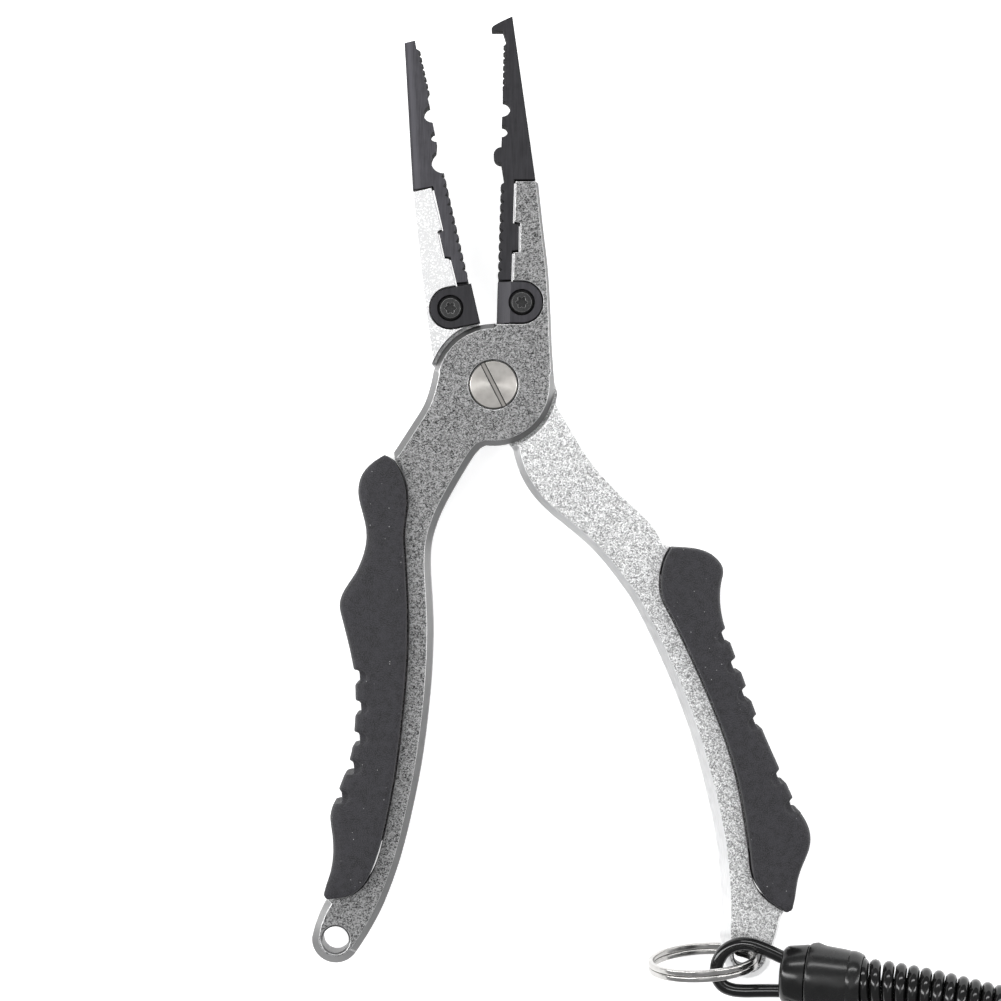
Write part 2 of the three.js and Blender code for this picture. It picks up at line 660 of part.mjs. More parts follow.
// The rounding grows from a thin edge at both ends of a stretch to full size away from them.
function easedIn(points, endEdge, fullEdge, length) {
  const first = points[0];
  const last = points.at(-1);
  return points.map(point => {
    const away = Math.min(point.distanceTo(first), point.distanceTo(last));
    const edge = THREE.MathUtils.lerp(endEdge, fullEdge, Math.min(1, away / length));
    return Object.assign(point, { edge });
  });
}

function grip(seam, outer, tonguePoints, notches) {
  const inner = seam.map(point => Object.assign(point, { edge: GRIP_SEAM_EDGE }));
  const back = easedIn(curve(outer, GRIP_EDGE, GRIP_SPAN_STEPS), GRIP_SEAM_EDGE, GRIP_EDGE, GRIP_EASE);
  const body = plate(outline(inner, back), 0, GRIP_THICKNESS, GRIP_STEPS);
  return cut(body, tongue(tonguePoints, GAP), ...notchTools(notches));
}

function frontGrip() {
  const outer = [
    [-38.2, -114.9], [-37.6, -112.6], [-36.6, -109.5], [-36.1, -105.5],
    [-36.3, -101.5], [-36.8, -97.5], [-36, -94.3], [-34.1, -89.3], [-32, -83], [-31.2, -76],
    [-31.1, -69], [-31.6, -63.5], [-33, -57.1], [-34.2, -52.4], [-34.7, -49.8], [-34.1, -47.3],
    [-32.6, -44.8], [-30.9, -42.2], [-29.3, -38.4], [-28.6, -34.5], [-29, -30.9], [-30, -27.2],
    [-30.5, -24.2], [-30.1, -21.5], [-28.9, -19.3], [-26.9, -17.4], [-24.4, -15.9],
  ];
  return grip(beside(FRONT_SEAM, -GAP), outer, FRONT_TONGUE, FRONT_NOTCHES);
}

function rearGrip() {
  const outer = [
    [67.2, -118.3], [67.9, -115.5], [68.6, -111.5], [69.8, -108.2], [71.1, -105],
    [71.5, -102.3], [71.1, -100], [70.2, -98], [68.7, -95.6], [66.5, -91], [64.6, -86.8],
    [61.2, -79.2], [58.6, -72.6], [56.3, -66.1], [53.9, -59.6], [52.5, -55.6], [51.7, -53],
    [51.2, -50], [51.1, -47], [51.4, -44.5], [51.85, -42.3], [51.3, -40.4], [49.2, -38.3],
    [46.2, -37.1], [41.9, -36.8],
  ];
  return grip(beside(REAR_SEAM, GAP), outer, REAR_TONGUE, REAR_NOTCHES);
}

// ---------------------------------------------------------------- pivot

function pivotScrew() {
  const top = SLAB_TOP + PIVOT_HEAD_PROUD;
  const profile = [
    [0, NUT_FLOOR + GAP],
    [BARREL_RADIUS - 0.4, NUT_FLOOR + GAP],
    [BARREL_RADIUS, NUT_FLOOR + 2 * GAP],
    [BARREL_RADIUS, top - PIVOT_HEAD_THICKNESS],
    [PIVOT_HEAD_RADIUS, top - PIVOT_HEAD_THICKNESS],
    [PIVOT_HEAD_RADIUS, top - 0.25],
    [PIVOT_HEAD_RADIUS - 0.25, top],
    [0, top],
  ];
  const geometry = lathe(profile, PIVOT_SIDES);
  geometry.rotateX(Math.PI / 2);
  const slot = box(
    [PIVOT_SLOT_WIDTH, 4 * PIVOT_HEAD_RADIUS, 2 * PIVOT_SLOT_DEPTH], [0, 0, top], PIVOT_SLOT_LEAN);
  return cut(solid(geometry), slot);
}

function pivotNut() {
  const profile = [
    [0, 0],
    [NUT_RADIUS - 0.9, 0],
    [NUT_RADIUS - 0.3, 0.3],
    [NUT_RADIUS, 0.9],
    [NUT_RADIUS, NUT_THICKNESS],
    [BARREL_RADIUS + GAP, NUT_THICKNESS],
    [BARREL_RADIUS + GAP, NUT_FLOOR],
    [0, NUT_FLOOR],
  ];
  const geometry = lathe(profile, PIVOT_SIDES);
  geometry.rotateX(Math.PI / 2);
  const spannerHoles = [1, -1].map(side => (
    disc(SPANNER_HOLE_RADIUS, -1, 2, [side * SPANNER_HOLE_OFFSET, 0], HOLE_SIDES)));
  return cut(solid(geometry), ...spannerHoles);
}

function thrustWasher() {
  const half = WASHER_THICKNESS / 2;
  return cut(disc(WASHER_OUTER, MID_Z - half, MID_Z + half), disc(WASHER_INNER, 0, SLAB_TOP));
}

// Return spring: a short coil round the barrel with a straight radial leg at each end,
// one held by each half.
function torsionSpring() {
  const path = [];
  const low = MID_Z - SPRING_TURNS * SPRING_PITCH / 2;
  const perTurn = 16;
  const steps = SPRING_TURNS * perTurn;
  const place = (radius, step) => {
    const angle = radians(SPRING_LOW_LEG + 360 * step / perTurn);
    const z = low + SPRING_PITCH * step / perTurn;
    return new THREE.Vector3(radius * Math.cos(angle), radius * Math.sin(angle), z);
  };
  path.push(place(SPRING_LEG_REACH, 0), place(SPRING_RADIUS + 0.8, 0));
  for (let step = 1; step < steps; step++) path.push(place(SPRING_RADIUS, step));
  path.push(place(SPRING_RADIUS + 0.8, steps), place(SPRING_LEG_REACH, steps));
  return tube(path, SPRING_WIRE / 2, SPRING_SIDES, SPRING_STEPS);
}

// ---------------------------------------------------------------- tubes and the split ring

// Round bar along a smooth path, with flat closed ends.
function tube(path, radius, sides, steps) {
  const section = new THREE.Shape();
  for (let i = 0; i < sides; i++) {
    const angle = 2 * Math.PI * i / sides;
    const point = [radius * Math.cos(angle), radius * Math.sin(angle)];
    if (i === 0) section.moveTo(...point);
    else section.lineTo(...point);
  }
  const geometry = new THREE.ExtrudeGeometry(section, {
    steps,
    bevelEnabled: false,
    extrudePath: new THREE.CatmullRomCurve3(path, false, 'centripetal'),
  });
  return solid(geometry);
}

// Two flat-sided turns of wire wound side by side, standing on edge through the rear eye.
// The wire crosses from one layer to the other in the gap between its two ends.
function splitRing() {
  const steps = Math.round(RING_TURNS * RING_SIDES);
  const middle = RING_RADIUS - RING_WIRE_RADIAL / 2;
  const halfR = RING_WIRE_RADIAL / 2;
  const halfA = RING_WIRE_AXIAL / 2;
  const section = [
    [halfR, halfA - RING_CORNER], [halfR - RING_CORNER, halfA], [RING_CORNER - halfR, halfA],
    [-halfR, halfA - RING_CORNER], [-halfR, RING_CORNER - halfA], [RING_CORNER - halfR, -halfA],
    [halfR - RING_CORNER, -halfA], [halfR, RING_CORNER - halfA],
  ].map(([r, a]) => new THREE.Vector2(r, a));
  const crossing = Math.PI * (2 - RING_TURNS);
  const placing = new THREE.Matrix4().makeTranslation(...RING_CENTRE);
  placing.multiply(new THREE.Matrix4().makeRotationZ(radians(RING_YAW)));
  placing.multiply(new THREE.Matrix4().makeRotationX(radians(RING_LEAN)));
  const rings = [];
  for (let step = 0; step <= steps; step++) {
    const turned = 2 * Math.PI * RING_TURNS * step / steps;
    const angle = radians(RING_START) + turned;
    const fromMiddle = (turned - Math.PI * RING_TURNS) / crossing;
    const layer = Math.sin(Math.PI / 2 * THREE.MathUtils.clamp(fromMiddle, -1, 1));
    rings.push(section.map(({ x, y }) => new THREE.Vector3(
      (middle + x) * Math.cos(angle),
      y - layer * RING_PITCH / 2,
      (middle + x) * Math.sin(angle),
    ).applyMatrix4(placing)));
  }
  const faces = capFaces(section);
  return loft(rings, faces, faces);
}

// ---------------------------------------------------------------- lanyard

// Each end of the lanyard is a bail, a plug that grips it and a sleeve over the cord's end.
// Its own frame: "face" is the centre of the plug's bail face, "axis" points to the cord.
function lanyardEnd(face, towards) {
  const origin = new THREE.Vector3(...face);
  const axis = new THREE.Vector3(...towards).sub(origin).normalize();
  const across = new THREE.Vector3(0, 0, 1).cross(axis).normalize();
  const place = (along, side) => (
    origin.clone().addScaledVector(axis, along).addScaledVector(across, side));
  const turned = (profile, start) => {
    const geometry = lathe(profile, FITTING_SIDES);
    geometry.applyQuaternion(
      new THREE.Quaternion().setFromUnitVectors(new THREE.Vector3(0, 1, 0), axis));
    geometry.translate(...place(start, 0).toArray());
    return solid(geometry);
  };
  const plugBody = turned([
    [0, 0], [PLUG_RADIUS - 1.8, 0], [PLUG_RADIUS - 0.55, 0.55], [PLUG_RADIUS, 1.8],
    [PLUG_RIM_RADIUS, PLUG_LENGTH - 0.3], [PLUG_RIM_RADIUS - 0.3, PLUG_LENGTH], [0, PLUG_LENGTH],
  ], 0);
  const sockets = [1, -1].map(side => tube(
    [place(-1, side * BAIL_FOOT), place(1, side * BAIL_FOOT),
      place(BAIL_DEPTH + GAP, side * BAIL_FOOT)],
    BAIL_RADIUS + GAP, SOCKET_SIDES, 2));
  const sleeve = turned([
    [0, 0], [SLEEVE_RADIUS - 0.3, 0], [SLEEVE_RADIUS, 0.4], [MOUTH_RADIUS, SLEEVE_LENGTH - 2],
    [MOUTH_RADIUS - 0.35, SLEEVE_LENGTH - 0.8], [COIL_RADIUS + 0.4, SLEEVE_LENGTH],
    [0, SLEEVE_LENGTH],
  ], PLUG_LENGTH + GAP);
  return {
    place,
    bail: tube(BAIL_LOOP.map(([out, side]) => place(-out, side)), BAIL_RADIUS, BAIL_SIDES, BAIL_STEPS),
    plug: cut(plugBody, ...sockets),
    sleeve,
    cordStart: PLUG_LENGTH + SLEEVE_LENGTH + 2 * GAP,
  };
}

function cordTube(near, far) {
  const route = [
    near.place(near.cordStart, 0),
    near.place(near.cordStart + CORD_LEAD, 0),
    ...CORD_ROUTE.map(point => new THREE.Vector3(...point)),
    far.place(far.cordStart + CORD_LEAD, 0),
    far.place(far.cordStart, 0),
  ];
  return tube(route, COIL_RADIUS, CORD_SIDES, CORD_STEPS);
}

// ---------------------------------------------------------------- assembly

part('front_handle', frontHandle(), greyAluminium);
part('front_jaw', frontJaw(), blackSteel);
part('front_cutter', cut(cutterBlock(FRONT_CUTTER), cutterBevel(FRONT_CUTTER)), blackSteel);
part('front_cutter_screw', cutterScrew(FRONT_CUTTER), blackSteel);
part('front_grip', frontGrip(), rubber);
part('rear_handle', rearHandle(), silverAluminium);
part('rear_jaw', rearJaw(), blackSteel);
part('rear_cutter', cutterBlock(REAR_CUTTER), blackSteel);
part('rear_cutter_screw', cutterScrew(REAR_CUTTER), blackSteel);
part('rear_grip', rearGrip(), rubber);
part('pivot_screw', pivotScrew(), steel);
part('pivot_nut', pivotNut(), steel);
part('thrust_washer', thrustWasher(), bronze);
part('return_spring', torsionSpring(), steel);
part('split_ring', splitRing(), steel);

const nearEnd = lanyardEnd(NEAR_PLUG_FACE, NEAR_SLEEVE_END);
const farEnd = lanyardEnd(FAR_PLUG_FACE, FAR_SLEEVE_END);
part('near_bail', nearEnd.bail, glossBlack);
part('near_plug', nearEnd.plug, glossBlack);
part('near_sleeve', nearEnd.sleeve, sleeveBlack);
part('lanyard_coil', cordTube(nearEnd, farEnd), glossBlack);
part('far_sleeve', farEnd.sleeve, sleeveBlack);
part('far_plug', farEnd.plug, glossBlack);
part('far_bail', farEnd.bail, glossBlack);

export default group;
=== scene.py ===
import math

import bmesh
import bpy
import numpy as np
from mathutils import Matrix, Vector


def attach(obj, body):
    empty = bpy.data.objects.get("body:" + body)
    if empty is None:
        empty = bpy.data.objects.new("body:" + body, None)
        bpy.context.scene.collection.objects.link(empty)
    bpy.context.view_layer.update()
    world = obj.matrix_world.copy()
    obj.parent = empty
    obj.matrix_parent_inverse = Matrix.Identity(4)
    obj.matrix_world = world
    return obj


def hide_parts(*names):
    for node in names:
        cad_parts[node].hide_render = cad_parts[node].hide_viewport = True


MM = 0.001

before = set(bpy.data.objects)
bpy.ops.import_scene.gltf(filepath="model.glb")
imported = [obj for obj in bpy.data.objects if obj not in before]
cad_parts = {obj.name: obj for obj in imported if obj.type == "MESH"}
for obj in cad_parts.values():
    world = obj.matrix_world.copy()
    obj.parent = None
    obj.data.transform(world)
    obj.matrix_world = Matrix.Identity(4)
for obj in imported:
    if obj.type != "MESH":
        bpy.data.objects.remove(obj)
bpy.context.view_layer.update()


# ---------------------------------------------------------------- camera

CAMERA_OVER = (1.6, -26.2)
CAMERA_HEIGHT = 611.6
LENS = 95.48
SENSOR = 36

camera_data = bpy.data.cameras.new("camera")
camera_data.sensor_width = SENSOR
camera_data.lens = LENS
camera_data.clip_start = 0.01
camera_data.clip_end = 20
camera = bpy.data.objects.new("camera", camera_data)
camera.location = (CAMERA_OVER[0] * MM, CAMERA_OVER[1] * MM, CAMERA_HEIGHT * MM)
bpy.context.scene.collection.objects.link(camera)
bpy.context.scene.camera = camera
bpy.context.scene.view_settings.view_transform = "Standard"


# ---------------------------------------------------------------- curves and meshes

def smooth_line(points, per_span):
    """Centripetal Catmull-Rom line through the points, with per_span steps between each two."""
    points = [Vector(p) for p in points]
    padded = [2 * points[0] - points[1], *points, 2 * points[-1] - points[-2]]
    line = []
    for i in range(1, len(padded) - 2):
        p0, p1, p2, p3 = padded[i - 1:i + 3]
        d0, d1, d2 = (max((b - a).length, 1e-9) ** 0.5 for a, b in ((p0, p1), (p1, p2), (p2, p3)))
        m1 = ((p1 - p0) / d0 - (p2 - p0) / (d0 + d1) + (p2 - p1) / d1) * d1
        m2 = ((p2 - p1) / d1 - (p3 - p1) / (d1 + d2) + (p3 - p2) / d2) * d1
        for step in range(per_span):
            t = step / per_span
            line.append(
                (2 * t**3 - 3 * t**2 + 1) * p1 + (t**3 - 2 * t**2 + t) * m1
                + (3 * t**2 - 2 * t**3) * p2 + (t**3 - t**2) * m2
            )
    return [*line, points[-1]]


def evenly(line, count):
    """count points at equal distances along the line, with the line's length."""
    at = [0.0]
    for a, b in zip(line, line[1:]):
        at.append(at[-1] + (b - a).length)
    rows = np.array([tuple(p) for p in line])
    wanted = np.linspace(0, at[-1], count)
    columns = [np.interp(wanted, at, rows[:, axis]) for axis in range(3)]
    return [Vector(p) for p in zip(*columns)], at[-1]


def carried_frames(line, first_side):
    """Tangent, side and up at each point, turned as little as possible from one to the next."""
    tangents = [
        (line[min(i + 1, len(line) - 1)] - line[max(i - 1, 0)]).normalized()
        for i in range(len(line))
    ]
    side = Vector(first_side)
    frames = []
    for tangent in tangents:
        side = (side - tangent * side.dot(tangent)).normalized()
        frames.append((tangent, side, tangent.cross(side)))
    return frames


def mesh_object(name, vertices, faces, smooth_angle=35):
    mesh = bpy.data.meshes.new(name)
    mesh.from_pydata([tuple(Vector(v) * MM) for v in vertices], [], faces)
    return finished(name, mesh, smooth_angle)


def finished(name, mesh, smooth_angle=35):
    """Puts a mesh in the scene, faces outward and smooth except at edges sharper than the angle."""
    work = bmesh.new()
    work.from_mesh(mesh)
    bmesh.ops.recalc_face_normals(work, faces=work.faces)
    work.to_mesh(mesh)
    work.free()
    mesh.polygons.foreach_set("use_smooth", [True] * len(mesh.polygons))
    mesh.set_sharp_from_angle(angle=math.radians(smooth_angle))
    obj = bpy.data.objects.new(name, mesh)
    bpy.context.scene.collection.objects.link(obj)
    return obj


def swept(name, rings, smooth_angle=35):
    """Closed body through rings of points, with a fan over each end."""
    count = len(rings[0])
    vertices = [p for ring in rings for p in ring]
    faces = []
    for r in range(len(rings) - 1):
        for i in range(count):
            a = r * count + i
            b = r * count + (i + 1) % count
            faces.append((a, b, b + count, a + count))
    faces.append(tuple(range(count)))
    faces.append(tuple(range(len(vertices) - count, len(vertices))))
    return mesh_object(name, vertices, faces, smooth_angle)


def bar(name, line, radius, sides, first_side, end_round=0.25):
    """Round bar along a line; its first and last rings are smaller by end_round."""
    frames = carried_frames(line, first_side)
    rings = []
    for i, (point, (tangent, side, up)) in enumerate(zip(line, frames)):
        shrink = radius - end_round if i in (0, len(line) - 1) else radius
        rings.append([
            point + side * shrink * math.cos(a) + up * shrink * math.sin(a)
            for a in (2 * math.pi * k / sides for k in range(sides))
        ])
    return swept(name, rings)


def turned(name, profile, origin, axis, across, sides=96):
    """Body of revolution: profile lists (distance along the axis, radius), closed on the axis."""
    up = axis.cross(across)
    rings = []
    for along, radius in profile:
        rings.append([
            origin + axis * along + (across * math.cos(a) + up * math.sin(a)) * radius
            for a in (2 * math.pi * k / sides for k in range(sides))
        ])
    return swept(name, rings)


def applied(obj, *modifiers):
    """Adds the modifiers, each (kind, settings), and keeps their result as the object's mesh."""
    for kind, settings in modifiers:
        modifier = obj.modifiers.new(kind.lower(), kind)
        for key, value in settings.items():
            setattr(modifier, key, value)
    graph = bpy.context.evaluated_depsgraph_get()
    mesh = bpy.data.meshes.new_from_object(obj.evaluated_get(graph))
    old = obj.data
    obj.modifiers.clear()
    obj.data = mesh
    bpy.data.meshes.remove(old)
    return obj


def cut(obj, *tools):
    for tool in tools:
        applied(obj, ("BOOLEAN", {"operation": "DIFFERENCE", "object": tool, "solver": "EXACT"}))
        bpy.data.objects.remove(tool)
    return obj


# ---------------------------------------------------------------- material tools

EDGE_SAMPLES = 6
# How far the rounded normal has turned, as a cosine, where an edge's mask begins and is full.
EDGE_TURN = (0.985, 0.93)


class Finish:
    """One procedural material on the Principled shader."""

    def __init__(self, name, **constants):
        self.material = bpy.data.materials.new(name)
        self.material.use_nodes = True
        self.tree = self.material.node_tree
        self.shader = self.tree.nodes["Principled BSDF"]
        for socket, value in constants.items():
            self.shader.inputs[socket.replace("_", " ")].default_value = value
        self.coords = self.add("ShaderNodeTexCoord").outputs["Object"]

    def add(self, kind, inputs=None, **settings):
        node = self.tree.nodes.new(kind)
        for key, value in settings.items():
            setattr(node, key, value)
        for key, value in (inputs or {}).items():
            self.feed(node.inputs[key], value)
        return node

    def feed(self, socket, value):
        if isinstance(value, bpy.types.NodeSocket):
            self.tree.links.new(value, socket)
        else:
            socket.default_value = value

    def set(self, socket, value):
        self.feed(self.shader.inputs[socket], value)

    def math(self, operation, a, b=0.0, clamp=False):
        node = self.add("ShaderNodeMath", {0: a, 1: b}, operation=operation, use_clamp=clamp)
        return node.outputs[0]

    def ramp(self, value, low, high, to_low=0.0, to_high=1.0):
        """value's stretch from low to high, as to_low to to_high."""
        node = self.add("ShaderNodeMapRange", {
            "Value": value, "From Min": low, "From Max": high, "To Min": to_low, "To Max": to_high})
        return node.outputs["Result"]

    def mix(self, amount, a, b):
        """Colour a where amount is 0 and b where it is 1."""
        node = self.add("ShaderNodeMix", data_type="RGBA")
        self.feed(node.inputs["Factor"], amount)
        self.feed(node.inputs["A"], a)
        self.feed(node.inputs["B"], b)
        return node.outputs["Result"]

    def blend(self, amount, a, b):
        node = self.add("ShaderNodeMix", data_type="FLOAT")
        self.feed(node.inputs["Factor"], amount)
        self.feed(node.inputs["A"], a)
        self.feed(node.inputs["B"], b)
        return node.outputs["Result"]

    def stretched(self, scale, turn=0.0):
        """Object coordinates turned about Z and scaled by three numbers, for streaked textures."""
        node = self.add("ShaderNodeMapping", {"Vector": self.coords, "Scale": scale})
        node.inputs["Rotation"].default_value = (0, 0, math.radians(turn))
        return node.outputs["Vector"]

    def noise(self, size_mm, detail=2.0, rough=0.5, vector=None):
        """Noise whose blotches are about size_mm across."""
        node = self.add("ShaderNodeTexNoise", {
            "Vector": vector or self.coords, "Scale": 1 / (size_mm * MM), "Detail": detail,
            "Roughness": rough})
        return node.outputs["Fac"]

    def cells(self, size_mm):
        """How far each point is from the middle of its cell; cells are about size_mm across."""
        node = self.add("ShaderNodeTexVoronoi", {
            "Vector": self.coords, "Scale": 1 / (size_mm * MM)})
        return node.outputs["Distance"]

    def grains(self, size_mm):
        """A random shade on each of many small cells about size_mm across, like blasted dimples."""
        node = self.add("ShaderNodeTexVoronoi", {
            "Vector": self.coords, "Scale": 1 / (size_mm * MM)})
        return self.add("ShaderNodeSeparateXYZ", {"Vector": node.outputs["Color"]}).outputs["X"]

    def face_up(self):
        """How far the face points straight up or down, from 0 to 1."""
        normal = self.add("ShaderNodeNewGeometry").outputs["True Normal"]
        z = self.add("ShaderNodeSeparateXYZ", {"Vector": normal}).outputs["Z"]
        return self.math("ABSOLUTE", z)

    def soft_edge(self, radius_mm):
        """Normal rounded over the edges, and a mask that is 1 on the rounding."""
        rounded = self.add("ShaderNodeBevel", {"Radius": radius_mm * MM},
                           samples=EDGE_SAMPLES)
        normal = self.add("ShaderNodeNewGeometry").outputs["True Normal"]
        dot = self.add("ShaderNodeVectorMath", {0: rounded.outputs["Normal"], 1: normal},
                       operation="DOT_PRODUCT").outputs["Value"]
        return rounded.outputs["Normal"], self.ramp(dot, *EDGE_TURN)

    def bump(self, height, depth_mm, normal=None, strength=1.0):
        node = self.add("ShaderNodeBump", {
            "Height": height, "Distance": depth_mm * MM, "Strength": strength})
        if normal is not None:
            self.feed(node.inputs["Normal"], normal)
        self.set("Normal", node.outputs["Normal"])


def grey(value, tint=(1.0, 1.0, 1.0)):
    return (*(value * t for t in tint), 1.0)


# ---------------------------------------------------------------- materials

# Millimetres across one dimple of the blasted flats, and one wave of their roughness.
BLAST_CELL = 0.24
BLAST_WAVE = 0.235
# Distances from the eye's middle between which its bore is darkened with painted shade.
EYE_SHADE_EDGE = (3.45 * MM, 3.25 * MM)
# Metres along the pliers over which the grain is rubbed out.
RUBBED_FROM = (-0.02, 0.015)
SOFT_ALUMINIUM = 0.24


def aluminium(name, dark, light, machined, edge_highlight_and_wear, polish=0.0, shaded_eye_centre=None):
    """Bead-blasted flats with a fine mottled grain; chamfers are milled smooth and lighter.

    polish is how far the grain is rubbed out towards the jaw end. shaded_eye_centre is the centre
    of an eye whose bore is painted dark grey as painted shade."""
    m = Finish(name, Metallic=1.0)
    fine = m.noise(BLAST_WAVE, 1.0, 0.5)
    coarse = m.noise(1.3, 1.0)
    grain = m.math("ADD", m.grains(BLAST_CELL), m.ramp(coarse, 0.3, 0.7, -0.1, 0.1))
    along = m.add("ShaderNodeSeparateXYZ", {"Vector": m.coords}).outputs["Y"]
    rubbed = m.ramp(along, *RUBBED_FROM, 0.0, polish)
    grain = m.math("MAXIMUM", grain, rubbed)
    blasted = m.mix(m.math("ADD", grain, 0.0, clamp=True), grey(dark), grey(light))
    lines = m.noise(0.35, 1.0, 0.5, m.stretched((0.15, 0.15, 4.0)))
    milled = m.mix(m.ramp(lines, 0.35, 0.65), grey(machined * 0.94), grey(machined * 1.04))
    flat = m.ramp(m.face_up(), 0.9, 0.98)
    if shaded_eye_centre:
        centre = m.add("ShaderNodeCombineXYZ", {0: shaded_eye_centre[0] * MM, 1: shaded_eye_centre[1] * MM, 2: 0.0})
        flattened = m.add("ShaderNodeVectorMath", {0: m.coords, 1: (1.0, 1.0, 0.0)},
                          operation="MULTIPLY")
        away = m.add("ShaderNodeVectorMath", {0: flattened.outputs[0], 1: centre.outputs[0]},
                     operation="DISTANCE").outputs["Value"]
        # painted shade: the milled walls inside the eye are painted dark grey
        eye_bore_shade = m.ramp(away, *EYE_SHADE_EDGE)
        milled = m.mix(eye_bore_shade, milled, grey(0.1))
    normal, on_edge = m.soft_edge(SOFT_ALUMINIUM)
    colour = m.mix(flat, milled, blasted)
    # painted highlight, partly edge wear: the rounded edges are painted pale so a bright line runs
    # along them
    m.set("Base Color", m.mix(on_edge, colour, grey(edge_highlight_and_wear)))
    rough = m.blend(flat, m.ramp(lines, 0.3, 0.7, 0.36, 0.46), m.ramp(fine, 0.3, 0.7, 0.42, 0.62))
    m.set("Roughness", m.blend(on_edge, rough, 0.38))
    depth = m.blend(flat, m.math("MULTIPLY", lines, 0.08), fine)
    m.bump(depth, 0.035, normal)
    return m.material


STEEL_TINT = (1, 0.97, 1.1)
# Share of the tone kept on faces that do not point up: painted shade on the side walls.
SIDE_SHADE_TONE = 0.25


def black_steel(name, turn, tone, ground_edge=None):
    """Black oxide over brushed steel: streaks along the jaw, rubbed a little lighter at edges.

    The side faces are painted darker than the ground flats, as painted shade. ground_edge gives
    a point on a straight outer edge and its slope; a paler strip is ground along it."""
    m = Finish(name, Metallic=0.55)
    streaks = m.noise(0.28, 2.0, 0.6, m.stretched((1.0, 0.045, 0.3), turn))
    blotches = m.noise(2.2, 3.0, 0.6)
    level = m.math("ADD", m.math("MULTIPLY", streaks, 0.7), m.math("MULTIPLY", blotches, 0.3))
    tint = STEEL_TINT
    ground = m.mix(m.ramp(level, 0.36, 0.64), grey(tone * 0.76, tint), grey(tone * 1.24, tint))
    flat = m.ramp(m.face_up(), 0.6, 0.78)
    # painted shade: faces that do not point up are painted darker
    colour = m.mix(flat, grey(tone * SIDE_SHADE_TONE, tint), ground)
    if ground_edge:
        edge_x, edge_y, slope = ground_edge
        apart = m.add("ShaderNodeSeparateXYZ", {"Vector": m.coords})
        x = apart.outputs["X"]
        y = apart.outputs["Y"]
        leaning = m.math("MULTIPLY", m.math("SUBTRACT", y, edge_y * MM), slope)
        away = m.math("SUBTRACT", m.math("SUBTRACT", x, edge_x * MM), leaning)
        inner = m.ramp(away, 0.35 * MM, 0.7 * MM)
        strip = m.math("MULTIPLY", inner, m.ramp(away, 2 * MM, 1.2 * MM))
        strip = m.math("MULTIPLY", strip, flat)
        colour = m.mix(m.math("MULTIPLY", strip, 0.6), colour, grey(tone * 2.0, tint))
    normal, on_edge = m.soft_edge(0.12)
    rubbed = m.math("MULTIPLY", on_edge, m.ramp(blotches, 0.42, 0.62, 0.1, 0.8))
    rubbed = m.math("MULTIPLY", rubbed, flat)
    m.set("Base Color", m.mix(rubbed, colour, grey(tone * 2.6)))
    m.set("Roughness", m.blend(flat, 0.85, m.ramp(level, 0.3, 0.7, 0.38, 0.56)))
    m.bump(streaks, 0.012, normal)
    return m.material


def screw_black():
    """Oiled black oxide, rubbed brighter along the rims of the head and of its star recess."""
    m = Finish("screw_black", Metallic=0.5)
    speckle = m.noise(0.3, 3.0, 0.6)
    normal, on_edge = m.soft_edge(0.14)
    colour = m.mix(m.ramp(speckle, 0.35, 0.65), grey(0.018), grey(0.042))
    m.set("Base Color", m.mix(on_edge, colour, grey(0.34)))
    m.set("Roughness", m.ramp(speckle, 0.3, 0.7, 0.3, 0.46))
    m.bump(speckle, 0.01, normal)
    return m.material


RUBBER_TINT = (1, 0.97, 1.12)


def rubber():
    """Moulded charcoal rubber: fine matt texture, faint mottling, a few pale specks of dust."""
    m = Finish("grip_rubber", Metallic=0.0, Specular_IOR_Level=0.35, Sheen_Weight=0.06,
               Sheen_Roughness=0.6)
    mottle = m.noise(1.6, 4.0, 0.62)
    pores = m.noise(0.22, 2.0, 0.6)
    dust = m.math("MULTIPLY", m.ramp(m.cells(1.6), 0.09, 0.04),
                  m.ramp(m.noise(9.0, 1.0), 0.46, 0.56))
    tint = RUBBER_TINT
    colour = m.mix(m.ramp(mottle, 0.38, 0.62), grey(0.006, tint), grey(0.024, tint))
    colour = m.mix(m.ramp(pores, 0.42, 0.6, 0.0, 0.6), colour, grey(0.05, tint))
    m.set("Base Color", m.mix(m.math("MULTIPLY", dust, 0.7), colour, grey(0.42)))
    m.set("Roughness", m.ramp(mottle, 0.3, 0.7, 0.62, 0.82))
    height = m.math("ADD", m.math("MULTIPLY", pores, 0.6), m.math("MULTIPLY", mottle, 0.8))
    m.bump(height, 0.045)
    return m.material


# The screw's and the nut's outer faces lie equally far from the middle; the slot is nearer.
PIVOT_MIDDLE = 5.825
SLOT_DEPTHS = (5.1 * MM, 5.5 * MM)
SLOT_LEAN = 27


